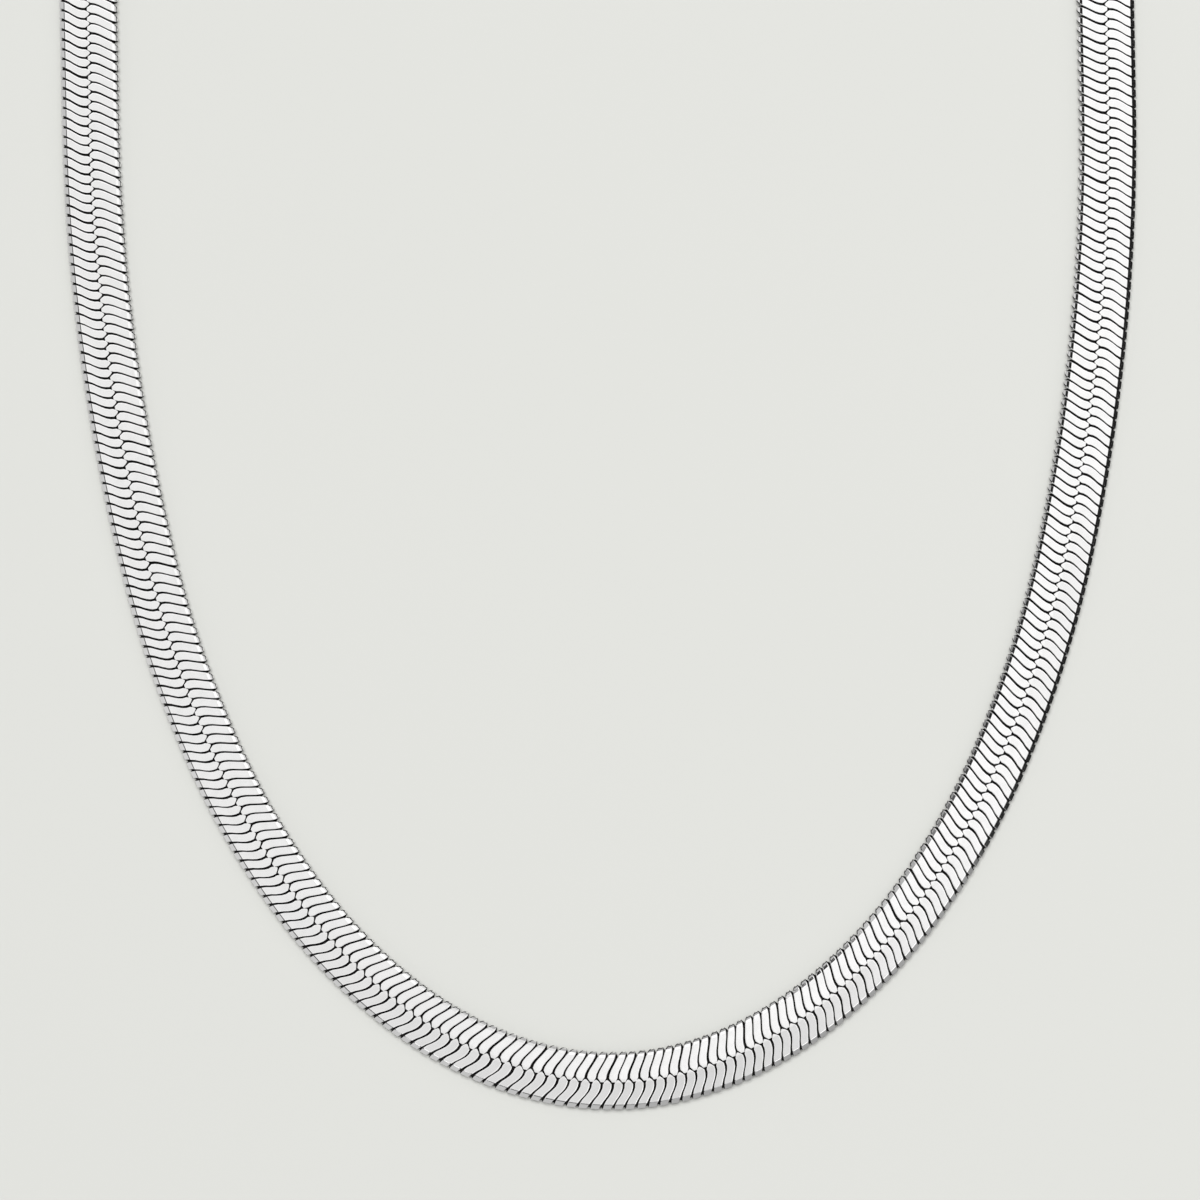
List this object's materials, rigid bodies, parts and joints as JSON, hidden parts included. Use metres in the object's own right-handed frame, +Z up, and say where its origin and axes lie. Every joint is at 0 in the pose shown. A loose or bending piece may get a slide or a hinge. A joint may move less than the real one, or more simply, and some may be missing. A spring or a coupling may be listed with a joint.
{
  "type": "herringbone chain necklace",
  "caption": "Flat herringbone chain in polished silver-coloured metal, a closed necklace loop lying flat, with end caps, oval rings and a plain clasp.",
  "frame": {"origin": "middle of the loop's bounding box, on the surface that the chain lies on", "axes": "+Z up from the surface, -Y towards the front of the necklace, +Y towards the clasp, +X to the right of the picture"},
  "size_m": [0.1122, 0.1714, 0.0024],
  "materials": {
    "chain_metal": "bright polished silver",
    "fastening_metal": "polished silver"
  },
  "bodies": {
    "root": {"herringbone_band": "chain_metal", "end_cap_left": "fastening_metal", "end_cap_right": "fastening_metal", "jump_ring_left": "fastening_metal", "jump_ring_right": "fastening_metal", "clasp": "fastening_metal"}
  },
  "joints": []
}
